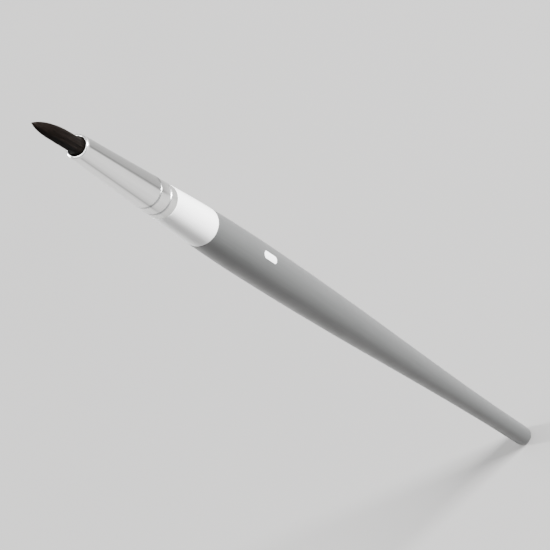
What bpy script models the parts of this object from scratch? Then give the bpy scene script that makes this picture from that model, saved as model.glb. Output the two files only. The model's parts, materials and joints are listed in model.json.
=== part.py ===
"""Fine detail brush: a pointed round tuft in a seamless ferrule, on a short lacquered wooden handle.

The brush stands upright, tuft up, with its axis on Z. The origin is on the axis at the widest point of
the handle, where fingers hold it or where the hole of a brush stand carries it. Sizes are in metres.
"""

import math

import bmesh
import bpy
from mathutils import Vector

MM = 0.001
SIDES = 32  # sides of every turned piece, all turned to the same angle
FIT_GAP = 0.05 * MM  # left between pieces that touch

# Handle. Heights run along the axis from its widest point.
BELLY_RADIUS = 3.65 * MM
SHOULDER_RADIUS = 2.98 * MM  # at the ferrule's rear edge
TAIL_RADIUS = 1.9 * MM
TAIL_FLAT_RADIUS = 1.2 * MM
SHOULDER_HEIGHT = 30 * MM
TAIL_HEIGHT = -120.5 * MM
TAIL_ROUND = 1.5 * MM  # height of the rounding at the tail
TAPER_STEPS = 14  # facets along the taper from the belly to the tail
COLOUR_BREAK_HEIGHT = 17 * MM  # white lacquer above, grey below
LACQUER = 0.18 * MM

# Ferrule: a crimped rear that narrows a little, a tapered body and a rolled lip.
FERRULE_LENGTH = 27 * MM
FERRULE_REAR_RADIUS = 2.95 * MM
FERRULE_TAPER_RADIUS = 2.79 * MM  # where the steeper taper starts, just ahead of the crimps
FERRULE_MOUTH_RADIUS = 2.0 * MM
FERRULE_WALL = 0.3 * MM
TAPER_START = 6.2 * MM  # above the rear edge
CRIMPS = (2.1 * MM, 5.2 * MM)  # above the rear edge
CRIMP_DEPTH = 0.16 * MM
CRIMP_HALF_WIDTH = 0.35 * MM
LIP_RADIUS = 0.25 * MM

# What the ferrule hides.
TENON_LENGTH = 12 * MM
TENON_CHAMFER = 0.4 * MM
GLUE_THICKNESS = 1.5 * MM
PLUG_LENGTH = 6.8 * MM
PLUG_FLOOR = 1.4 * MM
ROOT_RADIUS = 1.4 * MM
ROOT_WAIST_RADIUS = 1.25 * MM  # where the thread draws the hairs together
THREAD_RADIUS = 0.15 * MM
THREAD_TURNS = 4
THREAD_ABOVE_PLUG = 3.0 * MM  # the thread's lowest turn above the plug's underside

# Tuft, from the plane where the lip is narrowest.
TUFT_RADIUS = 1.3 * MM
TUFT_LENGTH = 12.75 * MM
TUFT_FULLNESS = 4.5  # a larger value keeps the belly full further towards the point
TIP_LEAN = 0.75 * MM  # the point leans this far towards -X

# Printed mark on the grey lacquer.
MARK_LENGTH = 4.5 * MM
MARK_WIDTH = 1.3 * MM
MARK_THICKNESS = 0.05 * MM
MARK_HEIGHT = -1.2 * MM
MARK_ANGLE = math.radians(-55)  # about Z, from +X
MARK_BLUNT = 0.08 * MM  # half the width left at its round ends

MOUTH_HEIGHT = SHOULDER_HEIGHT + FERRULE_LENGTH
PIVOT_HEIGHT = MOUTH_HEIGHT - LIP_RADIUS
TENON_END = SHOULDER_HEIGHT + TENON_LENGTH
GLUE_END = TENON_END + GLUE_THICKNESS
PLUG_START = GLUE_END + FIT_GAP
PLUG_END = PLUG_START + PLUG_LENGTH
ROOT_START = PLUG_START + PLUG_FLOOR
ROOT_END = PIVOT_HEIGHT - TUFT_RADIUS - 2 * FIT_GAP
THREAD_START = PLUG_START + THREAD_ABOVE_PLUG
THREAD_END = THREAD_START + 2 * THREAD_RADIUS * THREAD_TURNS
THREAD_INNER_RADIUS = ROOT_WAIST_RADIUS + FIT_GAP


def material(name, colour, roughness, metallic=0.0):
    made = bpy.data.materials.new(name)
    made.use_nodes = True
    shader = made.node_tree.nodes["Principled BSDF"]
    shader.inputs["Base Color"].default_value = (*colour, 1.0)
    shader.inputs["Roughness"].default_value = roughness
    shader.inputs["Metallic"].default_value = metallic
    return made


def steps(first, last, count):
    """count + 1 values, evenly spaced from first to last."""
    return [first + (last - first) * i / count for i in range(count + 1)]


def arc(radius, height, size, first, last, count):
    """Points on a circle of that size about (radius, height), between two angles in degrees."""
    angles = [math.radians(a) for a in steps(first, last, count)]
    return [(radius + size * math.cos(a), height + size * math.sin(a)) for a in angles]


def turned(name, outline, finish, brush, hollow=False, height=0.0):
    """Turns an outline of (radius, height) points about Z.

    A hollow outline is a closed loop that stays clear of the axis.
    """
    mesh = bmesh.new()
    points = [mesh.verts.new((radius, 0, z - height)) for radius, z in outline]
    ends = points[1:] + points[:1] if hollow else points[1:]
    edges = [mesh.edges.new(pair) for pair in zip(points, ends)]
    bmesh.ops.spin(
        mesh, geom=points + edges, cent=(0, 0, 0), axis=(0, 0, 1), angle=2 * math.pi, steps=SIDES
    )
    bmesh.ops.remove_doubles(mesh, verts=mesh.verts, dist=MM / 1000)
    bmesh.ops.recalc_face_normals(mesh, faces=mesh.faces)
    return placed(name, mesh, finish, brush, height)


def placed(name, mesh, finish, brush, height=0.0):
    """Makes an object of the mesh, with its origin on the axis at that height."""
    data = bpy.data.meshes.new(name)
    mesh.to_mesh(data)
    mesh.free()
    data.materials.append(finish)
    data.shade_smooth()
    data.set_sharp_from_angle(angle=math.radians(35))
    made = bpy.data.objects.new(name, data)
    made.location = (0, 0, height)
    made.parent = brush
    bpy.context.scene.collection.objects.link(made)
    return made


def handle_radius(z):
    """Radius of the finished handle: a parabola ahead of the belly, a cosine taper behind it."""
    if z >= 0:
        return BELLY_RADIUS - (BELLY_RADIUS - SHOULDER_RADIUS) * (z / SHOULDER_HEIGHT) ** 2
    share = z / (TAIL_HEIGHT + TAIL_ROUND)
    return TAIL_RADIUS + (BELLY_RADIUS - TAIL_RADIUS) * (1 + math.cos(math.pi * share)) / 2


def tail_outline(inset):
    """The tail's flat and its elliptical rounding, inset from the finished surface."""
    base = TAIL_HEIGHT + TAIL_ROUND
    spread = TAIL_RADIUS - TAIL_FLAT_RADIUS
    angles = [math.radians(a) for a in steps(-90, 0, 5)]
    rounding = [
        (TAIL_FLAT_RADIUS - inset + spread * math.cos(a), base + (TAIL_ROUND - inset) * math.sin(a))
        for a in angles
    ]
    return [(0, rounding[0][1])] + rounding


def handle_outline(first, last, count, inset=0.0):
    return [(handle_radius(z) - inset, z) for z in steps(first, last, count)]


def ferrule_radius(z):
    """Outer radius of the ferrule, below its lip."""
    above_rear = z - SHOULDER_HEIGHT
    if above_rear < TAPER_START:
        share = above_rear / TAPER_START
        radius = FERRULE_REAR_RADIUS + (FERRULE_TAPER_RADIUS - FERRULE_REAR_RADIUS) * share
    else:
        share = (above_rear - TAPER_START) / (FERRULE_LENGTH - TAPER_START)
        radius = FERRULE_TAPER_RADIUS + (FERRULE_MOUTH_RADIUS - FERRULE_TAPER_RADIUS) * share
    for crimp in CRIMPS:
        away = min(1.0, abs(above_rear - crimp) / CRIMP_HALF_WIDTH)
        radius -= CRIMP_DEPTH * (1 + math.cos(math.pi * away)) / 2
    return radius


def crimped_heights(first, last):
    """Heights from first to last that follow the crimps and the start of the taper."""
    marks = [SHOULDER_HEIGHT + TAPER_START]
    for crimp in CRIMPS:
        middle = SHOULDER_HEIGHT + crimp
        marks += steps(middle - CRIMP_HALF_WIDTH, middle + CRIMP_HALF_WIDTH, 4)
    return [first] + [z for z in sorted(marks) if first < z < last] + [last]


def bore_radius(z):
    return ferrule_radius(z) - FERRULE_WALL


def inside_ferrule(first, last):
    """The surface of a piece that fills the ferrule's bore from first to last."""
    return [(bore_radius(z) - FIT_GAP, z) for z in crimped_heights(first, last)]


def handle_skin(first, last, count, inset=0.0):
    """The handle's outline from the tail's middle, or from first if that is above the tail, up to last."""
    taper_start = TAIL_HEIGHT + TAIL_ROUND
    if first > taper_start:
        return handle_outline(first, last, count, inset)
    taper = handle_outline(taper_start, 0, TAPER_STEPS, inset)
    return tail_outline(inset) + taper[1:] + handle_outline(0, last, count, inset)[1:]


def make_handle_core(brush, wood):
    """The turned wood under the lacquer, with the tenon that the ferrule is crimped onto."""
    shoulder = SHOULDER_HEIGHT - FIT_GAP
    core = handle_skin(TAIL_HEIGHT, shoulder, 6, LACQUER + FIT_GAP)
    tenon = inside_ferrule(shoulder, TENON_END - TENON_CHAMFER)
    nose = (tenon[-1][0] - TENON_CHAMFER, TENON_END)
    turned("handle_core", core + tenon + [nose, (0, TENON_END)], wood, brush)


def make_grey_lacquer(brush, grey):
    """A coat over the tail and up to the colour break, open at the top."""
    last = COLOUR_BREAK_HEIGHT - FIT_GAP / 2
    outside = handle_skin(TAIL_HEIGHT, last, 4)
    inside = handle_skin(TAIL_HEIGHT, last, 4, LACQUER)
    turned("grey_lacquer", outside + inside[::-1], grey, brush)


def make_white_lacquer(brush, white):
    """A coat from the colour break up to the ferrule, open at both ends."""
    first = COLOUR_BREAK_HEIGHT + FIT_GAP / 2
    last = SHOULDER_HEIGHT - FIT_GAP
    outside = handle_skin(first, last, 5)
    inside = handle_skin(first, last, 5, LACQUER)
    turned("white_lacquer", outside + inside[::-1], white, brush, hollow=True)


def mark_half_width(z):
    """Half the width of the mark, a plain bar with round ends, at a height from its middle."""
    end = MARK_WIDTH / 2
    past = abs(z) - (MARK_LENGTH / 2 - end)
    if past <= 0:
        return end
    return max(MARK_BLUNT, math.sqrt(max(0.0, end**2 - past**2)))


def make_printed_mark(brush, ink):
    """A thin bar of ink that follows the round of the handle."""
    end = MARK_WIDTH / 2
    upper = [z for _, z in arc(0, MARK_LENGTH / 2 - end, end, 0, 90, 4)]
    mesh = bmesh.new()
    rows = []
    for z in [-z for z in reversed(upper)] + upper:
        radius = handle_radius(MARK_HEIGHT + z) + FIT_GAP
        half = mark_half_width(z) / radius
        angles = steps(MARK_ANGLE - half, MARK_ANGLE + half, 6)
        corners = [(radius * math.cos(a), radius * math.sin(a), MARK_HEIGHT + z) for a in angles]
        rows.append([mesh.verts.new(corner) for corner in corners])
    for low, high in zip(rows, rows[1:]):
        for i in range(len(low) - 1):
            mesh.faces.new((low[i], low[i + 1], high[i + 1], high[i]))
    raised = bmesh.ops.extrude_face_region(mesh, geom=mesh.faces[:])["geom"]
    for vertex in raised:
        if isinstance(vertex, bmesh.types.BMVert):
            vertex.co += Vector((vertex.co.x, vertex.co.y, 0)).normalized() * MARK_THICKNESS
    bmesh.ops.recalc_face_normals(mesh, faces=mesh.faces)
    placed("printed_mark", mesh, ink, brush)


def make_ferrule(brush, metal):
    """A thin tube whose front edge is rolled inwards, so that it can't cut the hairs."""
    lip_base = MOUTH_HEIGHT - 2 * LIP_RADIUS
    outside = [(ferrule_radius(z), z) for z in crimped_heights(SHOULDER_HEIGHT, lip_base)]
    middle = FERRULE_MOUTH_RADIUS - LIP_RADIUS
    lip = arc(middle, PIVOT_HEIGHT, LIP_RADIUS, 0, 225, 8)
    inside = [(bore_radius(z), z) for z in crimped_heights(SHOULDER_HEIGHT, lip_base - LIP_RADIUS)]
    turned("ferrule", outside + lip + inside[::-1], metal, brush, hollow=True)


def make_tenon_glue(brush, glue):
    """The glue squeezed up ahead of the tenon."""
    disc = inside_ferrule(TENON_END + FIT_GAP, GLUE_END)
    turned("tenon_glue", [(0, disc[0][1])] + disc + [(0, GLUE_END)], glue, brush)


def make_hair_root(brush, hair):
    """The hairs' fixed lower ends, drawn in by the thread and set in the plug."""
    waist = [
        (ROOT_RADIUS, THREAD_START - 2 * THREAD_RADIUS),
        (ROOT_WAIST_RADIUS, THREAD_START - THREAD_RADIUS),
        (ROOT_WAIST_RADIUS, THREAD_END + THREAD_RADIUS),
        (ROOT_RADIUS, THREAD_END + 2 * THREAD_RADIUS),
    ]
    bottom = [(0, ROOT_START), (ROOT_RADIUS, ROOT_START)]
    top = [(ROOT_RADIUS, ROOT_END), (0, ROOT_END)]
    turned("hair_root", bottom + waist + top, hair, brush)


def make_root_thread(brush, thread):
    """Turns of thread, side by side round the waist of the root."""
    outline = [(THREAD_INNER_RADIUS, THREAD_START)]
    for turn in range(THREAD_TURNS):
        height = THREAD_START + THREAD_RADIUS * (2 * turn + 1)
        outline += arc(THREAD_INNER_RADIUS + THREAD_RADIUS, height, THREAD_RADIUS, -90, 90, 4)
    outline.append((THREAD_INNER_RADIUS, THREAD_END))
    turned("root_thread", outline, thread, brush, hollow=True)


def make_epoxy_plug(brush, epoxy):
    """Fills the ferrule round the root and the thread, and closes it below them."""
    outside = inside_ferrule(PLUG_START, PLUG_END)
    round_root = ROOT_RADIUS + FIT_GAP
    round_thread = THREAD_INNER_RADIUS + 2 * THREAD_RADIUS + FIT_GAP
    cavity = [
        (round_root, PLUG_END),
        (round_root, THREAD_END + THREAD_RADIUS),
        (round_thread, THREAD_END + THREAD_RADIUS),
        (round_thread, THREAD_START - THREAD_RADIUS),
        (round_root, THREAD_START - THREAD_RADIUS),
        (round_root, ROOT_START - FIT_GAP),
        (0, ROOT_START - FIT_GAP),
    ]
    turned("epoxy_plug", [(0, PLUG_START)] + outside + cavity, epoxy, brush)


def make_tuft(brush, hair):
    """The free hairs: a ball inside the lip for the bend to turn on, a full belly and a fine point."""
    ball = arc(0, PIVOT_HEIGHT, TUFT_RADIUS, -90, 0, 5)
    ball[0] = (0, ball[0][1])
    shares = [math.sin(math.radians(a)) for a in steps(0, 90, 12)]
    belly = [
        (
            TUFT_RADIUS * (1 - share**TUFT_FULLNESS),
            PIVOT_HEIGHT + TUFT_LENGTH * share,
        )
        for share in shares[1:-1]
    ]
    outline = ball + belly + [(0, PIVOT_HEIGHT + TUFT_LENGTH)]
    tuft = turned("tuft", outline, hair, brush, height=PIVOT_HEIGHT)
    for vertex in tuft.data.vertices:
        share = max(0.0, vertex.co.z) / TUFT_LENGTH
        vertex.co += Vector((-TIP_LEAN * share**2, 0, 0))


def main():
    for old in list(bpy.data.objects):
        bpy.data.objects.remove(old)
    brush = bpy.data.objects.new("brush", None)
    bpy.context.scene.collection.objects.link(brush)

    wood = material("bare_wood", (0.62, 0.45, 0.27), 0.6)
    white = material("white_lacquer", (0.86, 0.86, 0.85), 0.2)
    grey = material("grey_lacquer", (0.2, 0.2, 0.2), 0.35)
    ink = material("white_ink", (0.8, 0.82, 0.84), 0.45)
    metal = material("plated_metal", (0.75, 0.75, 0.74), 0.22, 1.0)
    glue = material("wood_glue", (0.72, 0.62, 0.4), 0.5)
    epoxy = material("epoxy", (0.6, 0.42, 0.16), 0.25)
    thread = material("tie_thread", (0.7, 0.68, 0.62), 0.85)
    hair = material("dark_filament", (0.012, 0.009, 0.008), 0.5)

    make_handle_core(brush, wood)
    make_grey_lacquer(brush, grey)
    make_white_lacquer(brush, white)
    make_printed_mark(brush, ink)
    make_ferrule(brush, metal)
    make_tenon_glue(brush, glue)
    make_hair_root(brush, hair)
    make_root_thread(brush, thread)
    make_epoxy_plug(brush, epoxy)
    make_tuft(brush, hair)


main()
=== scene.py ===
"""The looks of the fine detail brush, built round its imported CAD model.

The hairs are modelled one by one. The ferrule, the two lacquer coats and the printed mark are made
again at a finer grain than in CAD, by the same rules of shape. The pieces hidden inside keep their CAD
shape and get materials. Sizes are in metres, in the row's frame: the brush stands on Z, tuft up.
"""

import json
import math
import random

import bpy
from mathutils import Matrix, Vector


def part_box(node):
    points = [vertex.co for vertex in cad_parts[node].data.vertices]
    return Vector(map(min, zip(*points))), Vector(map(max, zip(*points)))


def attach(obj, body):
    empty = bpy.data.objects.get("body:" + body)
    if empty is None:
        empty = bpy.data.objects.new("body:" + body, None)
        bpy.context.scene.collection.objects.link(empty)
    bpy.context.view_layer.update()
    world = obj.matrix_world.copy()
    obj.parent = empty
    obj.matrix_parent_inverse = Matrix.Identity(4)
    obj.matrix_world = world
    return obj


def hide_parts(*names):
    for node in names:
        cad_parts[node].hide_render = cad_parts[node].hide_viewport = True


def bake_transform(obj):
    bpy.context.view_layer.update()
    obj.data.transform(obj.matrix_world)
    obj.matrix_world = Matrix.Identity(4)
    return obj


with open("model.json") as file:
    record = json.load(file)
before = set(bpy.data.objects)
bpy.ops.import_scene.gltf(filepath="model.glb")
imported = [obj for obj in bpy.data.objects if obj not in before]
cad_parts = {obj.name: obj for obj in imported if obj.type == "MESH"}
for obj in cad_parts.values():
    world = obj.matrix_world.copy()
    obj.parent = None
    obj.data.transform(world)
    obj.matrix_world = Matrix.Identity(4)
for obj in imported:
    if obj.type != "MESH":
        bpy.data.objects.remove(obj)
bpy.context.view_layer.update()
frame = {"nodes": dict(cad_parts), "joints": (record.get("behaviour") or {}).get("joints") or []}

MM = 0.001

# Heights that the frame gives.
TAIL_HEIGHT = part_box("grey_lacquer")[0].z
WHITE_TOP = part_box("white_lacquer")[1].z
REAR_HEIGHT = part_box("ferrule")[0].z
MOUTH_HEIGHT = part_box("ferrule")[1].z
PIVOT_HEIGHT = frame["joints"][0]["pos_m"][2]
ROOT_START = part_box("hair_root")[0].z
ROOT_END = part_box("hair_root")[1].z
TIP_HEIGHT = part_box("tuft")[1].z
THREAD_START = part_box("root_thread")[0].z
THREAD_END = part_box("root_thread")[1].z

# Sizes that shape the pieces, as in the CAD model.
BELLY_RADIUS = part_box("grey_lacquer")[1].x
SHOULDER_RADIUS = 2.98 * MM
TAIL_RADIUS = 1.9 * MM
TAIL_FLAT_RADIUS = 1.2 * MM
TAIL_ROUND = 1.5 * MM
LACQUER = 0.18 * MM
FERRULE_REAR_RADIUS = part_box("ferrule")[1].x
FERRULE_TAPER_RADIUS = 2.79 * MM
FERRULE_MOUTH_RADIUS = 2.0 * MM
FERRULE_WALL = 0.3 * MM
TAPER_START = 6.2 * MM  # above the rear edge
CRIMPS = (2.1 * MM, 5.2 * MM)  # above the rear edge
CRIMP_DEPTH = 0.16 * MM
LIP_RADIUS = MOUTH_HEIGHT - PIVOT_HEIGHT
TUFT_RADIUS = 1.3 * MM
TUFT_FULLNESS = 4.5  # a larger value keeps the belly full further towards the point
TIP_LEAN = 0.75 * MM  # towards -X
ROOT_RADIUS = 1.4 * MM
ROOT_WAIST_RADIUS = 1.25 * MM
MARK_LENGTH = 4.5 * MM
MARK_WIDTH = 1.3 * MM
MARK_HEIGHT = -1.2 * MM
MARK_ANGLE = math.radians(-55)  # about Z, from +X

# Finer grain.
SIDES = 160  # of every turned piece
SHARP_ANGLE = 35  # degrees between two faces, past which their edge is shaded sharp
CRIMP_SIGMA = 0.17 * MM  # half the width of a crimp's groove
CRIMP_SHOULDER = 0.03 * MM  # metal pushed up beside the groove
CRIMP_SHOULDER_AWAY = 0.4 * MM
CRIMP_JAWS = 10  # jaws that press the crimps, and leave them a little uneven
CRIMP_JAW_DEPTH = 0.022 * MM
CRIMP_SKEW = 0.05 * MM  # how far out of square the crimps were pressed
CRIMP_SKEW_END = 6 * MM  # above the rear edge, where the metal starts to run true again
CRIMP_SKEW_FADE = 3 * MM
FERRULE_UNEVEN = 0.007 * MM
FERRULE_REAR_EDGE = 0.05 * MM  # bevel of the cut rear edge
LIP_CALM = 2 * MM  # the metal runs true over this much behind the lip
COAT_UNEVEN = 0.006 * MM
COAT_EDGE = 0.06 * MM  # rounding at the edges of the coats
COAT_EDGE_DRIFT = 0.03 * MM  # how far the border of the coats wanders up and down
COAT_EDGE_REACH = 2 * MM  # height over which that fades out
COAT_EDGE_SEED = 12  # the same for both coats, so that their edges stay together
DIP_SWELL = 0.018 * MM  # extra lacquer where the dip ended
DIP_SWELL_HEIGHT = 0.5 * MM
TAIL_CALM = 3 * MM  # the lacquer runs smooth over this much of the tail
MARK_RISE = 0.04 * MM  # the ink's outside, above the lacquer's surface
MARK_SINK = 0.01 * MM  # the ink's underside, below it

# Painted reflections: how bright the metal is painted round the ferrule, as (place, level), with 0.5 at
# -Y and 0.75 at +X. The bright bands and dark lines stand in for the floor and room mirrored in the
# metal.
FERRULE_PAINTED_REFLECTIONS = (
    (0.0, 0.6),
    (0.08, 0.8),
    (0.11, 0.3),
    (0.13, 0.7),
    (0.2, 0.5),
    (0.27, 0.9),
    (0.36, 1.0),
    (0.385, 0.8),
    (0.4, 0.3),
    (0.415, 0.7),
    (0.45, 1.0),
    (0.5, 0.94),
    (0.57, 0.6),
    (0.58, 0.15),
    (0.594, 0.0),
    (0.608, 0.12),
    (0.67, 0.18),
    (0.75, 0.1),
    (0.82, 0.35),
    (0.86, 0.8),
    (0.92, 0.9),
    (0.95, 0.35),
    (1.0, 0.6),
)

# The bundle of hairs.
LIP_FILL = 1.42 * MM  # the hairs fill the lip to this radius
LIP_SPREAD = 1.6 * MM  # and narrow to the tuft over this height
TIE_EASE = 0.5 * MM  # height over which the tie draws the hairs in

# Single hairs. Lengths without MM are shares of the tuft's length.
HAIRS = 900
HAIR_SEED = 5
HAIR_RADIUS = 0.042 * MM
HAIR_RADIUS_SPREAD = (0.82, 1.1)  # shares of that radius
HAIR_TIP_SHARE = 0.12  # a hair's radius at its tip, as a share of its own
HAIR_THIN_FROM = 0.62  # share of a hair's length after which it thins
HAIR_SIDES = 4
HAIR_STEPS = 14  # points along the free part of a hair
HAIR_OUTERMOST = 0.985  # share of the bundle's radius that the hairs' middles keep within
HAIR_GATHER = 0.8  # 1 makes every hair follow the outline, 0 keeps every hair straight
HAIR_SHORTEST = 0.3
HAIR_LONGEST = 0.998
HAIR_END_STEP = 0.01  # how finely the end of each hair is looked for
HAIR_END_SPREAD = (-0.02, 0.08)
HAIR_WAVE = 0.014 * MM
HAIR_WAVE_COUNT = (0.7, 1.8)  # waves along the tuft
HAIR_JITTER = 0.04  # radians
HAIR_TURN = 0.05  # radians that a hair drifts round the tuft, as a typical value
HAIR_CLUMPS = 9
HAIR_CLUMP_GROOVE = 0.035  # depth of the grooves between clumps, as a share of the radius
STRAY_HAIRS = 7
STRAY_REACH = (0.05 * MM, 0.16 * MM)
STRAY_LENGTH = (0.75, 0.9)  # shares of the length that they would have
GOLDEN_ANGLE = math.pi * (3 - math.sqrt(5))

# Camera and stage.
WORLD_COLOUR = (0.97, 0.98, 1.0, 1.0)
WORLD_SEEN = 0.45  # brightness of the room to the camera
WORLD_REFLECTED = 0.66  # in reflections
WORLD_FILL = 0.06  # and as a light
VIEW_ELEVATION = 54.2  # degrees, at the middle of the ferrule
VIEW_ROLL = math.radians(57)
VIEW_DISTANCE = 487 * MM
VIEW_AIM_HEIGHT = -10 * MM
VIEW_LENS = 205
FLOOR_SIZE = 40  # large enough that the floor runs out to the horizon


def steps(first, last, count):
    """count + 1 values, evenly spaced from first to last."""
    return [first + (last - first) * i / count for i in range(count + 1)]


def smooth(share):
    """Eases from 0 to 1 as share does, and stays level past either end."""
    share = min(1.0, max(0.0, share))
    return share * share * (3 - 2 * share)


# Shapes


def handle_radius(z):
    """Radius of the finished handle: a parabola ahead of the belly, a cosine taper behind it."""
    if z >= 0:
        return BELLY_RADIUS - (BELLY_RADIUS - SHOULDER_RADIUS) * (z / REAR_HEIGHT) ** 2
    share = z / (TAIL_HEIGHT + TAIL_ROUND)
    return TAIL_RADIUS + (BELLY_RADIUS - TAIL_RADIUS) * (1 + math.cos(math.pi * share)) / 2


def tail_outline(inset):
    """The tail's flat and its elliptical rounding, inset from the finished surface."""
    base = TAIL_HEIGHT + TAIL_ROUND
    spread = TAIL_RADIUS - TAIL_FLAT_RADIUS
    angles = [math.radians(a) for a in steps(-90, 0, 14)]
    flat = [(TAIL_FLAT_RADIUS * share - inset, TAIL_HEIGHT + inset) for share in (0.4, 0.8)]
    rounding = [
        (TAIL_FLAT_RADIUS - inset + spread * math.cos(a), base + (TAIL_ROUND - inset) * math.sin(a))
        for a in angles
    ]
    return [(0, TAIL_HEIGHT + inset)] + flat + rounding


def ferrule_radius(z):
    """Outer radius of the ferrule below its lip, with a groove and two low shoulders at each crimp."""
    above = z - REAR_HEIGHT
    if above < TAPER_START:
        share = above / TAPER_START
        radius = FERRULE_REAR_RADIUS + (FERRULE_TAPER_RADIUS - FERRULE_REAR_RADIUS) * share
    else:
        share = (above - TAPER_START) / (MOUTH_HEIGHT - REAR_HEIGHT - TAPER_START)
        radius = FERRULE_TAPER_RADIUS + (FERRULE_MOUTH_RADIUS - FERRULE_TAPER_RADIUS) * share
    for crimp in CRIMPS:
        away = abs(above - crimp)
        radius -= CRIMP_DEPTH * math.exp(-((away / CRIMP_SIGMA) ** 2))
        radius += CRIMP_SHOULDER * math.exp(-(((away - CRIMP_SHOULDER_AWAY) / CRIMP_SIGMA) ** 2))
    return radius


def hair_bundle(z):
    """Radius of the bundle of hairs at a height, from the root through the tie to the point."""
    if z < ROOT_END:
        outside_tie = max(THREAD_START - z, z - THREAD_END)
        drawn = 1 - smooth(outside_tie / TIE_EASE)
        return ROOT_RADIUS - (ROOT_RADIUS - ROOT_WAIST_RADIUS) * drawn
    if z < PIVOT_HEIGHT:
        return ROOT_RADIUS + (LIP_FILL - ROOT_RADIUS) * smooth((z - ROOT_END) / (PIVOT_HEIGHT - ROOT_END))
    share = min(1.0, (z - PIVOT_HEIGHT) / (TIP_HEIGHT - PIVOT_HEIGHT))
    spread = (LIP_FILL - TUFT_RADIUS) * (1 - smooth((z - PIVOT_HEIGHT) / LIP_SPREAD))
    return TUFT_RADIUS * (1 - share**TUFT_FULLNESS) + spread


def lean(z):
    """How far the middle of the hairs has moved along X at a height."""
    share = max(0.0, (z - PIVOT_HEIGHT) / (TIP_HEIGHT - PIVOT_HEIGHT))
    return -TIP_LEAN * share**2


def new_mesh(name, corners, faces, sharp_angle=SHARP_ANGLE):
    """Makes a smooth-shaded object of the corners and faces."""
    data = bpy.data.meshes.new(name)
    data.from_pydata(corners, [], faces)
    data.validate()
    data.shade_smooth()
    data.set_sharp_from_angle(angle=math.radians(sharp_angle))
    made = bpy.data.objects.new(name, data)
    bpy.context.scene.collection.objects.link(made)
    return made


def turned(name, outline, change):
    """Turns a closed outline of (radius, height) points about Z.

    It runs up the outside and down the inside, and points on the axis become poles.
    change(angle, radius, z) gives each corner's own (radius, z).
    """
    corners = []
    rings = []
    for radius, z in outline:
        if radius <= 0:
            rings.append([len(corners)] * SIDES)
            corners.append((0, 0, z))
            continue
        ring = []
        for i in range(SIDES):
            angle = 2 * math.pi * i / SIDES
            r, h = change(angle, radius, z)
            ring.append(len(corners))
            corners.append((r * math.cos(angle), r * math.sin(angle), h))
        rings.append(ring)
    pairs = list(zip(rings, rings[1:]))
    if outline[0][0] > 0:
        pairs.append((rings[-1], rings[0]))
    faces = []
    for low, high in pairs:
        for i in range(SIDES):
            j = (i + 1) % SIDES
            face = [low[i], low[j], high[j], high[i]]
            unique = list(dict.fromkeys(face))
            if len(unique) > 2:
                faces.append(unique)
    return new_mesh(name, corners, faces)


def waves(seed, count, amount):
    """A low, smooth unevenness over angle and height, as a function that gives a length."""
    draw = random.Random(seed)
    terms = []
    for _ in range(count):
        around = draw.randint(1, 5)
        along = draw.uniform(60, 320)  # radians for each metre
        phase = draw.uniform(0, 2 * math.pi)
        size = draw.uniform(0.4, 1)
        terms.append((around, along, phase, size))

    def height(angle, z):
        total = sum(
            size * math.sin(around * angle + along * z + phase)
            for around, along, phase, size in terms
        )
        return amount * total / count

    return height


def rounded_edge(radius, z, upward):
    """A quarter round that ends a coat at a height, with upward 1 at an upper edge and -1 at a lower."""
    angles = [math.radians(a) for a in steps(0, 90, 5)]
    middle = (radius - COAT_EDGE, z - upward * COAT_EDGE)
    points = [
        (middle[0] + COAT_EDGE * math.cos(a), middle[1] + upward * COAT_EDGE * math.sin(a))
        for a in angles
    ]
    return points if upward > 0 else points[::-1]


def make_grey_coat():
    """The grey lacquer, closed over the tail. Its upper edge is a little thick, where the dip ended."""
    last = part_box("grey_lacquer")[1].z
    uneven = waves(seed=11, count=5, amount=COAT_UNEVEN)
    edge_line = waves(seed=COAT_EDGE_SEED, count=4, amount=COAT_EDGE_DRIFT)

    def swell(z):
        return DIP_SWELL * math.exp(-(((last - z) / DIP_SWELL_HEIGHT) ** 2))

    def change(angle, radius, z):
        near_edge = smooth(1 - (last - z) / COAT_EDGE_REACH)
        calm = smooth((z - TAIL_HEIGHT) / TAIL_CALM)
        return radius + uneven(angle, z) * calm, z + edge_line(angle, 0) * near_edge

    base = TAIL_HEIGHT + TAIL_ROUND
    finer_from = last - 3 * MM
    heights = steps(base, 0, 90) + steps(0, finer_from, 16)[1:]
    heights += steps(finer_from, last - COAT_EDGE, 14)[1:]
    outside = [(handle_radius(z) + swell(z), z) for z in heights[1:]]
    top = rounded_edge(handle_radius(last) + swell(last), last, 1)
    inside = [(handle_radius(z) - LACQUER, z) for z in steps(last, base, 60)]
    outline = tail_outline(0) + outside + top + inside + tail_outline(LACQUER)[::-1][1:]
    return turned("grey_coat", outline, change)


def make_white_coat():
    """The white lacquer, from under the grey's edge up to the ferrule."""
    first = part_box("white_lacquer")[0].z
    last = WHITE_TOP
    uneven = waves(seed=21, count=5, amount=COAT_UNEVEN)
    edge_line = waves(seed=COAT_EDGE_SEED, count=4, amount=COAT_EDGE_DRIFT)

    def change(angle, radius, z):
        near_edge = smooth(1 - (z - first) / COAT_EDGE_REACH)
        return radius + uneven(angle, z), z + edge_line(angle, 0) * near_edge

    bottom = rounded_edge(handle_radius(first), first, -1)
    top = rounded_edge(handle_radius(last), last, 1)
    heights = steps(first + COAT_EDGE, last - COAT_EDGE, 40)
    outside = [(handle_radius(z), z) for z in heights[1:-1]]
    inside = [(handle_radius(z) - LACQUER, z) for z in steps(last, first, 10)]
    return turned("white_coat", bottom + outside + top + inside, change)


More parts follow.
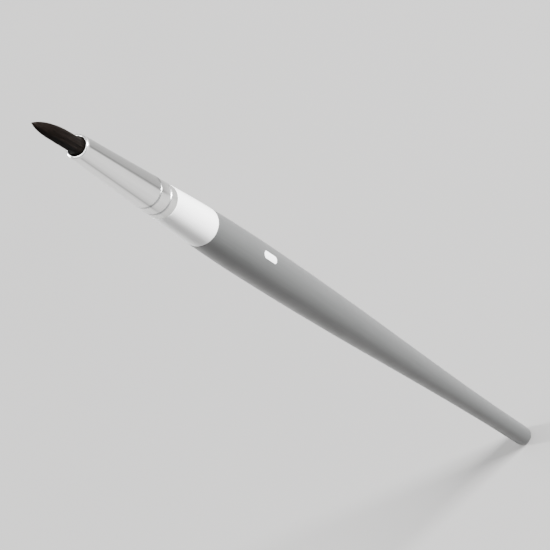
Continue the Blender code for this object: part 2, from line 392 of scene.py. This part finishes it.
def make_ferrule():
    """The plated tube, with pressed crimps, a rounded lip (painted bright by its material) and a thin
    rear edge.
    """
    uneven = waves(seed=31, count=6, amount=FERRULE_UNEVEN)

    def change(angle, radius, z):
        above = z - REAR_HEIGHT
        pressed = sum(math.exp(-(((above - crimp) / CRIMP_SIGMA) ** 2)) for crimp in CRIMPS)
        jaw = CRIMP_JAW_DEPTH * pressed * math.cos(CRIMP_JAWS * angle + 0.7)
        true_again = smooth(1 - (above - CRIMP_SKEW_END) / CRIMP_SKEW_FADE)
        skew = CRIMP_SKEW * math.sin(angle + 0.4) * smooth(above / MM) * true_again
        calm = smooth((MOUTH_HEIGHT - z) / LIP_CALM)
        return radius + jaw + uneven(angle, z) * calm, z + skew

    edge = FERRULE_REAR_EDGE
    rear = [(FERRULE_REAR_RADIUS - FERRULE_WALL, REAR_HEIGHT), (FERRULE_REAR_RADIUS - edge, REAR_HEIGHT)]
    crimped = steps(REAR_HEIGHT + edge, REAR_HEIGHT + TAPER_START, 100)
    lip_base = MOUTH_HEIGHT - 2 * LIP_RADIUS
    taper = steps(REAR_HEIGHT + TAPER_START, lip_base, 40)
    outside = [(ferrule_radius(z), z) for z in crimped + taper[1:]]
    middle = FERRULE_MOUTH_RADIUS - LIP_RADIUS
    lip = [
        (middle + LIP_RADIUS * math.cos(a), PIVOT_HEIGHT + LIP_RADIUS * math.sin(a))
        for a in [math.radians(a) for a in steps(0, 225, 18)]
    ]
    inner_top = lip_base - LIP_RADIUS
    inside = [(ferrule_radius(z) - FERRULE_WALL, z) for z in steps(inner_top, REAR_HEIGHT + edge, 40)]
    return turned("ferrule_tube", rear + outside + lip + inside, change)


def make_mark():
    """A thin bar of ink with round ends, printed lengthwise on the grey."""
    end = MARK_WIDTH / 2
    straight = MARK_LENGTH / 2 - end
    narrowest = 0.05 * end
    across = 12  # squares
    upper = [straight + end * math.sin(math.radians(a)) for a in steps(0, 88, 9)]
    heights = [-z for z in reversed(upper)] + steps(-straight, straight, 8)[1:-1] + upper
    corners = []
    rows = {}
    for skin, lift in enumerate((-MARK_SINK, MARK_RISE)):
        for row, z in enumerate(heights):
            past = max(0.0, abs(z) - straight)
            half = math.sqrt(max(end**2 - past**2, narrowest**2))
            radius = handle_radius(MARK_HEIGHT + z) + lift
            for column in range(across + 1):
                angle = MARK_ANGLE + half / radius * (2 * column / across - 1)
                rows[skin, row, column] = len(corners)
                corners.append((radius * math.cos(angle), radius * math.sin(angle), MARK_HEIGHT + z))
    faces = []
    last = len(heights) - 1
    for row in range(last):
        for column in range(across):
            square = [(row, column), (row, column + 1), (row + 1, column + 1), (row + 1, column)]
            faces.append([rows[1, r, c] for r, c in square])
            faces.append([rows[0, r, c] for r, c in reversed(square)])
    rim = [(0, c) for c in range(across)] + [(r, across) for r in range(last)]
    rim += [(last, c) for c in range(across, 0, -1)] + [(r, 0) for r in range(last, 0, -1)]
    for (r, c), (s, d) in zip(rim, rim[1:] + rim[:1]):
        faces.append([rows[0, r, c], rows[0, s, d], rows[1, s, d], rows[1, r, c]])
    return new_mesh("ink_mark", corners, faces)


def hair_path(draw, share, angle, stray):
    """Points (x, y, z, thick) of one hair from its butt to its tip, with thick a share of its radius.

    share says how far out the hair starts, and stray how far it sticks out of the bundle at the point.
    """
    length = TIP_HEIGHT - PIVOT_HEIGHT
    thin_at = share ** (1 / (1 - HAIR_GATHER)) if share > 0 else 0
    ends = 1.0
    while ends > HAIR_SHORTEST and hair_bundle(PIVOT_HEIGHT + length * ends) < TUFT_RADIUS * thin_at:
        ends -= HAIR_END_STEP
    ends = min(HAIR_LONGEST, ends + draw.uniform(*HAIR_END_SPREAD))
    if stray:
        ends *= draw.uniform(*STRAY_LENGTH)
    top = PIVOT_HEIGHT + length * ends
    waves_here = draw.uniform(*HAIR_WAVE_COUNT)
    phase = draw.uniform(0, 2 * math.pi)
    turn = draw.gauss(0, HAIR_TURN)
    tie = (THREAD_START - TIE_EASE, THREAD_START, THREAD_END, THREAD_END + TIE_EASE)
    heights = [ROOT_START, *tie, ROOT_END] + steps(PIVOT_HEIGHT, top, HAIR_STEPS)
    points = []
    for z in heights:
        free = max(0.0, (z - PIVOT_HEIGHT) / length)
        bundle = hair_bundle(z)
        radius = share * TUFT_RADIUS * (bundle / TUFT_RADIUS) ** HAIR_GATHER
        if z <= PIVOT_HEIGHT:
            radius = share * bundle
        radius = min(radius, bundle * HAIR_OUTERMOST)
        around = angle + turn * free
        between_clumps = (1 + math.cos(HAIR_CLUMPS * around + 2)) / 2
        radius *= 1 - HAIR_CLUMP_GROOVE * smooth(free * 3) * between_clumps
        if stray:
            radius += stray * smooth(free * 1.5) * free
        wave = HAIR_WAVE * smooth(free * 4) * math.sin(2 * math.pi * waves_here * free + phase)
        x = lean(z) + radius * math.cos(around) - wave * math.sin(around)
        y = radius * math.sin(around) + wave * math.cos(around)
        towards_tip = (z - ROOT_START) / (top - ROOT_START)
        thinned = smooth((towards_tip - HAIR_THIN_FROM) / (1 - HAIR_THIN_FROM))
        thick = 1 - (1 - HAIR_TIP_SHARE) * thinned
        points.append((x, y, z, thick))
    return points


def make_hairs():
    """Every hair of the brush, whole, from its butt in the epoxy through the tie and lip to its tip."""
    draw = random.Random(HAIR_SEED)
    corners, faces, shades = [], [], []
    for i in range(HAIRS):
        share = math.sqrt((i + 0.5) / HAIRS)
        angle = i * GOLDEN_ANGLE + draw.uniform(-HAIR_JITTER, HAIR_JITTER)
        stray = draw.uniform(*STRAY_REACH) if i >= HAIRS - STRAY_HAIRS else 0
        path = hair_path(draw, min(share, HAIR_OUTERMOST), angle, stray)
        radius = HAIR_RADIUS * draw.uniform(*HAIR_RADIUS_SPREAD)
        shade = draw.random()
        first = len(corners)
        for x, y, z, thick in path:
            for side in range(HAIR_SIDES):
                a = 2 * math.pi * side / HAIR_SIDES + i
                corners.append((x + radius * thick * math.cos(a), y + radius * thick * math.sin(a), z))
                shades.append(shade)
        for row in range(len(path) - 1):
            for side in range(HAIR_SIDES):
                a = first + row * HAIR_SIDES + side
                b = first + row * HAIR_SIDES + (side + 1) % HAIR_SIDES
                faces.append([a, b, b + HAIR_SIDES, a + HAIR_SIDES])
        last = first + (len(path) - 1) * HAIR_SIDES
        faces.append([first + side for side in reversed(range(HAIR_SIDES))])
        faces.append([last + side for side in range(HAIR_SIDES)])
    made = new_mesh("hairs", corners, faces, sharp_angle=80)
    attribute = made.data.attributes.new("hair_shade", "FLOAT", "POINT")
    attribute.data.foreach_set("value", shades)
    return made


# Materials


class Nodes:
    """A short way to write a material's nodes."""

    def __init__(self, name, roughness, metallic=0.0, **sockets):
        self.material = bpy.data.materials.new(name)
        self.material.use_nodes = True
        self.tree = self.material.node_tree
        self.shader = self.tree.nodes["Principled BSDF"]
        self.shader.inputs["Roughness"].default_value = roughness
        self.shader.inputs["Metallic"].default_value = metallic
        for socket, value in sockets.items():
            self.shader.inputs[socket.replace("_", " ")].default_value = value
        self.place = self.tree.nodes.new("ShaderNodeTexCoord").outputs["Object"]

    def add(self, kind, inputs=(), **settings):
        node = self.tree.nodes.new(kind)
        for key, value in settings.items():
            setattr(node, key, value)
        for socket, value in dict(inputs).items():
            self.put(node.inputs[socket], value)
        return node

    def put(self, socket, value):
        if isinstance(value, bpy.types.NodeSocket):
            self.tree.links.new(value, socket)
        else:
            socket.default_value = value

    def scaled(self, x, y, z, source=None):
        """Coordinates stretched by a factor on each axis."""
        node = self.add("ShaderNodeMapping", {"Vector": source or self.place})
        node.inputs["Scale"].default_value = (x, y, z)
        return node.outputs["Vector"]

    def round_place(self, around, along):
        """Coordinates that run round the axis and along it, in features for each metre."""
        split = self.add("ShaderNodeSeparateXYZ", {"Vector": self.place})
        x, y, z = split.outputs
        flat = self.add("ShaderNodeCombineXYZ", {"X": x, "Y": y})
        unit = self.add("ShaderNodeVectorMath", {0: flat.outputs[0]}, operation="NORMALIZE")
        spread = self.scaled(around, around, 1, unit.outputs[0])
        lifted = self.add("ShaderNodeCombineXYZ", {"Z": self.math("MULTIPLY", z, along)})
        both = self.add("ShaderNodeVectorMath", {0: spread, 1: lifted.outputs[0]}, operation="ADD")
        return both.outputs[0]

    def math(self, operation, a, b=0.0):
        return self.add("ShaderNodeMath", {0: a, 1: b}, operation=operation).outputs[0]

    def around(self):
        """Where a point is round the axis: 0.5 at -Y, 0.75 at +X, 0 and 1 at +Y."""
        x, y, _ = self.add("ShaderNodeSeparateXYZ", {"Vector": self.place}).outputs
        angle = self.math("ARCTAN2", x, self.math("MULTIPLY", y, -1))
        return self.range(angle, -math.pi, math.pi)

    def ramp(self, value, stops):
        """A curve through the stops of (place, value), with both from 0 to 1."""
        node = self.add("ShaderNodeValToRGB", {"Fac": value})
        first, last = node.color_ramp.elements
        first.position, first.color = stops[0][0], (stops[0][1],) * 3 + (1,)
        last.position, last.color = stops[-1][0], (stops[-1][1],) * 3 + (1,)
        for place, level in stops[1:-1]:
            node.color_ramp.elements.new(place).color = (level, level, level, 1)
        return node.outputs[0]

    def height(self):
        return self.add("ShaderNodeSeparateXYZ", {"Vector": self.place}).outputs[2]

    def noise(self, place, scale, detail=3.0, roughness=0.5):
        inputs = {"Vector": place, "Scale": scale, "Detail": detail, "Roughness": roughness}
        return self.add("ShaderNodeTexNoise", inputs).outputs[0]

    def spots(self, place, scale, size):
        """1 in the middle of scattered spots, and 0 past their size."""
        node = self.add("ShaderNodeTexVoronoi", {"Vector": place, "Scale": scale})
        return self.range(node.outputs["Distance"], 0, size, 1, 0)

    def range(self, value, low, high, to_low=0.0, to_high=1.0):
        inputs = {"Value": value, "From Min": low, "From Max": high, "To Min": to_low, "To Max": to_high}
        return self.add("ShaderNodeMapRange", inputs).outputs[0]

    def mix(self, share, first, second):
        """The first colour at share 0, and the second at 1."""
        node = self.add("ShaderNodeMix", data_type="RGBA")
        self.put(node.inputs[0], share)
        self.put(node.inputs[6], first)
        self.put(node.inputs[7], second)
        return node.outputs[2]

    def bump(self, height, strength, distance, below=None):
        inputs = {"Height": height, "Strength": strength, "Distance": distance}
        if below is not None:
            inputs["Normal"] = below
        return self.add("ShaderNodeBump", inputs).outputs[0]

    def finish(self, colour, roughness, normal=None):
        """Joins the last nodes to the shader, and gives back the material."""
        self.put(self.shader.inputs["Base Color"], colour)
        self.put(self.shader.inputs["Roughness"], roughness)
        if normal is not None:
            self.put(self.shader.inputs["Normal"], normal)
        return self.material


def rgb(red, green, blue):
    return (red, green, blue, 1.0)


def lacquer_material(name, light, dark, roughness):
    """Gloss lacquer over turned wood: faint lengthwise grain, orange peel, and a few specks of dust."""
    relief = 0.02 * MM
    n = Nodes(name, roughness, Specular_IOR_Level=0.35, Coat_Weight=0.15, Coat_Roughness=0.08)
    grain = n.noise(n.round_place(around=14, along=60), scale=1.0, detail=4)
    cloud = n.noise(n.place, scale=260, detail=3)
    peel = n.noise(n.place, scale=1900, detail=2)
    specks = n.spots(n.place, scale=260, size=0.04)
    tone = n.math("ADD", n.math("MULTIPLY", grain, 0.6), n.math("MULTIPLY", cloud, 0.4))
    colour = n.mix(n.range(tone, 0.35, 0.65), dark, light)
    rough = n.range(cloud, 0.3, 0.7, roughness * 0.9, roughness * 1.25)
    grainy = n.bump(grain, 0.12, relief)
    peeled = n.bump(peel, 0.10, relief, grainy)
    normal = n.bump(specks, 0.12, relief, peeled)
    return n.finish(colour, rough, normal)


def ferrule_material():
    """Nickel plate on drawn brass: lengthwise drawing lines, finer lines round it, dull smears, tarnish
    at the rear edge, painted reflections in bands round the tube, a painted highlight on the lip and
    painted shade in the crimp grooves.
    """
    # dark and bright are the two ends of the painted reflections round the tube; the last colour on the
    # next line is painted shade for the crimp grooves
    dark, bright = rgb(0.06, 0.06, 0.059), rgb(0.97, 0.97, 0.96)
    line, tarnish, painted_groove_shade = rgb(0.6, 0.6, 0.6), rgb(0.55, 0.58, 0.52), rgb(0.13, 0.13, 0.12)
    crimp_groove_width = 0.22 * MM
    tarnish_height = 1.9 * MM
    even_reflection_level = 0.8  # the painted reflections fade towards this level behind the crimps
    lip_highlight_level = 0.95  # painted highlight: the lip is at least this bright

    n = Nodes("nickel_plate", 0.2, 1.0, Anisotropic=0.3, Anisotropic_Rotation=0.25)
    drawn = n.noise(n.round_place(around=42, along=20), scale=1.0, detail=4, roughness=0.6)
    broad = n.noise(n.round_place(around=2.2, along=12), scale=1.0, detail=2)
    polished = n.noise(n.scaled(300, 300, 26000), scale=1.0, detail=2, roughness=0.6)
    smear = n.noise(n.place, scale=330, detail=4, roughness=0.6)
    above = n.math("SUBTRACT", n.height(), REAR_HEIGHT)
    # Painted shade: the crimp grooves are painted darker, and made rougher.
    crimp_groove_mask = 0.0
    for crimp in CRIMPS:
        away = n.math("ABSOLUTE", n.math("SUBTRACT", above, crimp))
        crimp_groove_mask = n.math("ADD", n.range(away, 0, crimp_groove_width, 1, 0), crimp_groove_mask)
    rear = n.range(above, 0, tarnish_height, 1, 0)
    past_crimps = n.range(above, CRIMPS[0], CRIMPS[1], 0.35, 1)
    # Where the painted highlight on the lip goes.
    lip = n.range(n.height(), MOUTH_HEIGHT - 2.4 * LIP_RADIUS, MOUTH_HEIGHT - 1.6 * LIP_RADIUS)

    # Painted reflections: bands of light and shade round the tube, weaker towards the rear, with some
    # broad noise.
    streak = n.math("SUBTRACT", n.ramp(n.around(), FERRULE_PAINTED_REFLECTIONS), even_reflection_level)
    streak = n.math("ADD", n.math("MULTIPLY", streak, past_crimps), even_reflection_level)
    streak = n.math("ADD", streak, n.range(broad, 0.3, 0.7, -0.08, 0.08))
    # Painted highlight on the lip.
    streak = n.math("MAXIMUM", streak, n.math("MULTIPLY", lip, lip_highlight_level))
    painted_reflection = n.mix(streak, dark, bright)
    lined = n.mix(n.range(drawn, 0.35, 0.7, 0, 0.35), painted_reflection, line)
    tinted = n.mix(n.math("MULTIPLY", rear, 0.35), lined, tarnish)
    # Painted shade in the crimp grooves.
    colour = n.mix(n.math("MULTIPLY", crimp_groove_mask, 0.6), tinted, painted_groove_shade)
    rough = n.range(smear, 0.3, 0.75, 0.16, 0.28)
    rough = n.math("ADD", rough, n.math("MULTIPLY", crimp_groove_mask, 0.25))
    normal = n.bump(drawn, 0.10, 0.01 * MM)
    normal = n.bump(polished, 0.05, 0.004 * MM, normal)
    return n.finish(colour, rough, normal)


def hair_material():
    """Dark brown to black hairs, each its own shade, a little browner towards the point."""
    n = Nodes("dark_hair", 0.5, Specular_IOR_Level=0.08)
    shade = n.add("ShaderNodeAttribute", attribute_name="hair_shade").outputs["Fac"]
    along = n.range(n.height(), PIVOT_HEIGHT, TIP_HEIGHT)
    patch = n.noise(n.scaled(9000, 9000, 600), scale=1.0, detail=3)
    near_root = n.mix(shade, rgb(0.0025, 0.002, 0.0017), rgb(0.0095, 0.0063, 0.0048))
    near_point = n.mix(shade, rgb(0.005, 0.0029, 0.0023), rgb(0.017, 0.0093, 0.0062))
    darkest = rgb(0.002, 0.0017, 0.0015)
    colour = n.mix(n.math("MULTIPLY", along, 0.7), near_root, near_point)
    colour = n.mix(n.range(patch, 0.3, 0.75, 0, 0.5), colour, darkest)
    rough = n.range(patch, 0.3, 0.7, 0.42, 0.6)
    return n.finish(colour, rough, n.bump(patch, 0.2, 0.004 * MM))


def wood_material():
    """Pale, close-grained turned wood, sanded across the grain."""
    spring_wood, summer_wood = rgb(0.66, 0.49, 0.31), rgb(0.52, 0.36, 0.2)
    dark_fibre, open_pore = rgb(0.38, 0.25, 0.13), rgb(0.24, 0.15, 0.08)
    n = Nodes("turned_wood", 0.6)
    grown = n.scaled(900, 500, 12)
    rings = n.add("ShaderNodeTexWave", {"Vector": grown, "Scale": 1.0, "Distortion": 3.5})
    fibre = n.noise(n.scaled(5200, 5200, 130), scale=1.0, detail=5, roughness=0.6)
    pores = n.spots(n.scaled(3000, 3000, 320), scale=1.0, size=0.16)
    colour = n.mix(n.range(rings.outputs["Fac"], 0, 1), spring_wood, summer_wood)
    colour = n.mix(n.range(fibre, 0.35, 0.7, 0, 0.4), colour, dark_fibre)
    colour = n.mix(n.math("MULTIPLY", pores, 0.5), colour, open_pore)
    rough = n.range(fibre, 0.3, 0.7, 0.5, 0.72)
    return n.finish(colour, rough, n.bump(fibre, 0.3, 0.03 * MM))


def ink_material():
    """Off-white pad-printed ink, a little thin in places."""
    full_ink, thin_ink, bare = rgb(0.86, 0.87, 0.88), rgb(0.62, 0.63, 0.64), rgb(0.3, 0.3, 0.3)
    n = Nodes("white_ink", 0.4, Coat_Weight=0.3, Coat_Roughness=0.15)
    thin = n.noise(n.place, scale=2600, detail=3)
    pinholes = n.spots(n.place, scale=3600, size=0.12)
    colour = n.mix(n.range(thin, 0.35, 0.7, 0, 0.3), full_ink, thin_ink)
    colour = n.mix(n.math("MULTIPLY", pinholes, 0.5), colour, bare)
    rough = n.range(thin, 0.3, 0.7, 0.34, 0.5)
    return n.finish(colour, rough, n.bump(thin, 0.2, 0.01 * MM))


def glue_material():
    """Dried wood glue, cloudy yellow with bubbles."""
    clear, cloudy, bubble = rgb(0.55, 0.43, 0.22), rgb(0.74, 0.63, 0.4), rgb(0.86, 0.8, 0.62)
    n = Nodes("wood_glue", 0.45, Subsurface_Weight=0.2)
    cloud = n.noise(n.place, scale=900, detail=4)
    bubbles = n.spots(n.place, scale=1500, size=0.3)
    colour = n.mix(n.range(cloud, 0.3, 0.7), clear, cloudy)
    colour = n.mix(n.math("MULTIPLY", bubbles, 0.3), colour, bubble)
    rough = n.range(cloud, 0.3, 0.7, 0.36, 0.55)
    return n.finish(colour, rough, n.bump(bubbles, 0.4, 0.05 * MM))


def epoxy_material():
    """Amber cast epoxy with darker streaks where it has soaked into the hairs."""
    deep_amber, pale_amber = rgb(0.5, 0.3, 0.08), rgb(0.68, 0.47, 0.18)
    soaked, bubble = rgb(0.2, 0.1, 0.03), rgb(0.8, 0.66, 0.36)
    n = Nodes("amber_epoxy", 0.2, Coat_Weight=0.5, Coat_Roughness=0.08, Subsurface_Weight=0.15)
    cloud = n.noise(n.place, scale=700, detail=4)
    bubbles = n.spots(n.place, scale=2200, size=0.2)
    streak = n.noise(n.scaled(4000, 4000, 300), scale=1.0, detail=3)
    colour = n.mix(n.range(cloud, 0.3, 0.7), deep_amber, pale_amber)
    colour = n.mix(n.range(streak, 0.5, 0.8, 0, 0.5), colour, soaked)
    colour = n.mix(n.math("MULTIPLY", bubbles, 0.4), colour, bubble)
    rough = n.range(cloud, 0.3, 0.7, 0.14, 0.3)
    return n.finish(colour, rough, n.bump(bubbles, 0.3, 0.03 * MM))


def thread_material():
    """Pale waxed thread, with plies that run slantwise round it."""
    between_plies, ply, waxed = rgb(0.5, 0.47, 0.4), rgb(0.76, 0.73, 0.66), rgb(0.42, 0.38, 0.3)
    n = Nodes("waxed_thread", 0.75, Sheen_Weight=0.3)
    slanted = n.round_place(around=30, along=16000)
    plies = n.add("ShaderNodeTexWave", {"Vector": slanted, "Scale": 1.0, "Distortion": 1.0})
    fluff = n.noise(n.place, scale=5200, detail=3)
    colour = n.mix(plies.outputs["Fac"], between_plies, ply)
    colour = n.mix(n.range(fluff, 0.4, 0.8, 0, 0.4), colour, waxed)
    rough = n.range(fluff, 0.3, 0.7, 0.62, 0.88)
    return n.finish(colour, rough, n.bump(plies.outputs["Fac"], 0.6, 0.03 * MM))


def floor_material():
    """Plain pale paper, barely uneven."""
    n = Nodes("pale_floor", 0.75)
    cloud = n.noise(n.place, scale=9, detail=3)
    colour = n.mix(n.range(cloud, 0.3, 0.7), rgb(0.2, 0.198, 0.196), rgb(0.218, 0.216, 0.213))
    return n.finish(colour, n.range(cloud, 0.3, 0.7, 0.7, 0.8))


# The brush


def wear(piece, material):
    """Gives the piece its material."""
    piece.data.materials.clear()
    piece.data.materials.append(material)


def make_brush():
    """Puts the finer pieces in place of their CAD nodes, and gives the hidden CAD nodes materials."""
    grey = lacquer_material("grey_lacquer", rgb(0.057, 0.058, 0.058), rgb(0.047, 0.049, 0.049), 0.33)
    white = lacquer_material("white_lacquer", rgb(0.87, 0.87, 0.87), rgb(0.82, 0.825, 0.82), 0.2)
    hair = hair_material()
    riding = (
        (make_grey_coat(), grey, "grey_lacquer", "grey_lacquer"),
        (make_white_coat(), white, "white_lacquer", "white_lacquer"),
        (make_mark(), ink_material(), "ink", "printed_mark"),
        (make_ferrule(), ferrule_material(), "ferrule_metal", "ferrule"),
    )
    for piece, material, slot, node in riding:
        wear(piece, material)
        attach(piece, "handle")
        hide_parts(node)

    hairs = make_hairs()
    wear(hairs, hair)
    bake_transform(hairs)
    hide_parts("tuft", "hair_root")

    inner = {
        "handle_core": wood_material(),
        "tenon_glue": glue_material(),
        "epoxy_plug": epoxy_material(),
        "root_thread": thread_material(),
    }
    for node, material in inner.items():
        kept = frame["nodes"][node]
        kept.data.materials.clear()
        kept.data.materials.append(material)


# Stage, light and camera


def make_floor():
    """A flat sheet at the height of the tail."""
    half = FLOOR_SIZE / 2
    corners = [(-half, -half, 0), (half, -half, 0), (half, half, 0), (-half, half, 0)]
    floor = new_mesh("floor", corners, [(0, 1, 2, 3)])
    floor.location = (0, 0, TAIL_HEIGHT)
    floor.data.materials.append(floor_material())


def direction(azimuth, elevation):
    """Unit vector from the brush towards a place, with azimuth 0 at -Y and 90 at +X, in degrees."""
    a, e = math.radians(azimuth), math.radians(elevation)
    return Vector((math.sin(a) * math.cos(e), -math.cos(a) * math.cos(e), math.sin(e)))


def make_softbox(name, azimuth, elevation, distance, width, height, power):
    """A rectangle of light, in metres and watts, that faces the brush and can't be seen itself."""
    light = bpy.data.lights.new(name, "AREA")
    light.shape = "RECTANGLE"
    light.size = width
    light.size_y = height
    light.energy = power
    lamp = bpy.data.objects.new(name, light)
    away = direction(azimuth, elevation)
    lamp.location = away * distance
    lamp.rotation_euler = away.to_track_quat("Z", "Y").to_euler()
    lamp.visible_camera = False
    bpy.context.scene.collection.objects.link(lamp)


def make_overhead(azimuth, elevation, strength, angle):
    """Even, soft light from far above, which keeps the floor pale out to the horizon."""
    light = bpy.data.lights.new("overhead", "SUN")
    light.energy = strength
    light.angle = math.radians(angle)
    lamp = bpy.data.objects.new("overhead", light)
    lamp.rotation_euler = direction(azimuth, elevation).to_track_quat("Z", "Y").to_euler()
    bpy.context.scene.collection.objects.link(lamp)


def make_world():
    """A pale room that is brighter in reflections than to the camera, and adds only a little light."""
    world = bpy.data.worlds.new("studio")
    world.use_nodes = True
    tree = world.node_tree
    background = tree.nodes["Background"]
    background.inputs["Color"].default_value = WORLD_COLOUR
    path = tree.nodes.new("ShaderNodeLightPath")
    strength = WORLD_FILL
    for ray, brightness in (("Is Camera Ray", WORLD_SEEN), ("Is Glossy Ray", WORLD_REFLECTED)):
        node = tree.nodes.new("ShaderNodeMath")
        node.operation = "MULTIPLY_ADD"
        node.inputs[1].default_value = brightness - WORLD_FILL
        tree.links.new(path.outputs[ray], node.inputs[0])
        if isinstance(strength, float):
            node.inputs[2].default_value = strength
        else:
            tree.links.new(strength, node.inputs[2])
        strength = node.outputs[0]
    tree.links.new(strength, background.inputs["Strength"])
    bpy.context.scene.world = world


def make_light():
    make_world()
    make_overhead(azimuth=-165, elevation=76, strength=4.5, angle=40)
    make_softbox(
        "key_softbox", azimuth=64, elevation=28, distance=1.2, width=0.42, height=0.42, power=108
    )
    make_softbox(
        "rim_softbox", azimuth=-140, elevation=30, distance=1.1, width=0.12, height=0.5, power=26
    )


def make_camera():
    """Looks down on the brush so that it points towards the viewer, with its point at the upper left."""
    data = bpy.data.cameras.new("camera")
    data.lens = VIEW_LENS
    data.clip_start = 0.01
    data.clip_end = 20
    camera = bpy.data.objects.new("camera", data)
    ferrule_middle = Vector((0, 0, (REAR_HEIGHT + MOUTH_HEIGHT) / 2))
    camera.location = ferrule_middle + direction(0, VIEW_ELEVATION) * VIEW_DISTANCE
    towards = Vector((0, 0, VIEW_AIM_HEIGHT)) - camera.location
    upright = towards.to_track_quat("-Z", "Y").to_matrix()
    camera.rotation_euler = (upright @ Matrix.Rotation(-VIEW_ROLL, 3, "Z")).to_euler()
    bpy.context.scene.collection.objects.link(camera)
    bpy.context.scene.camera = camera


make_brush()
make_floor()
make_light()
make_camera()
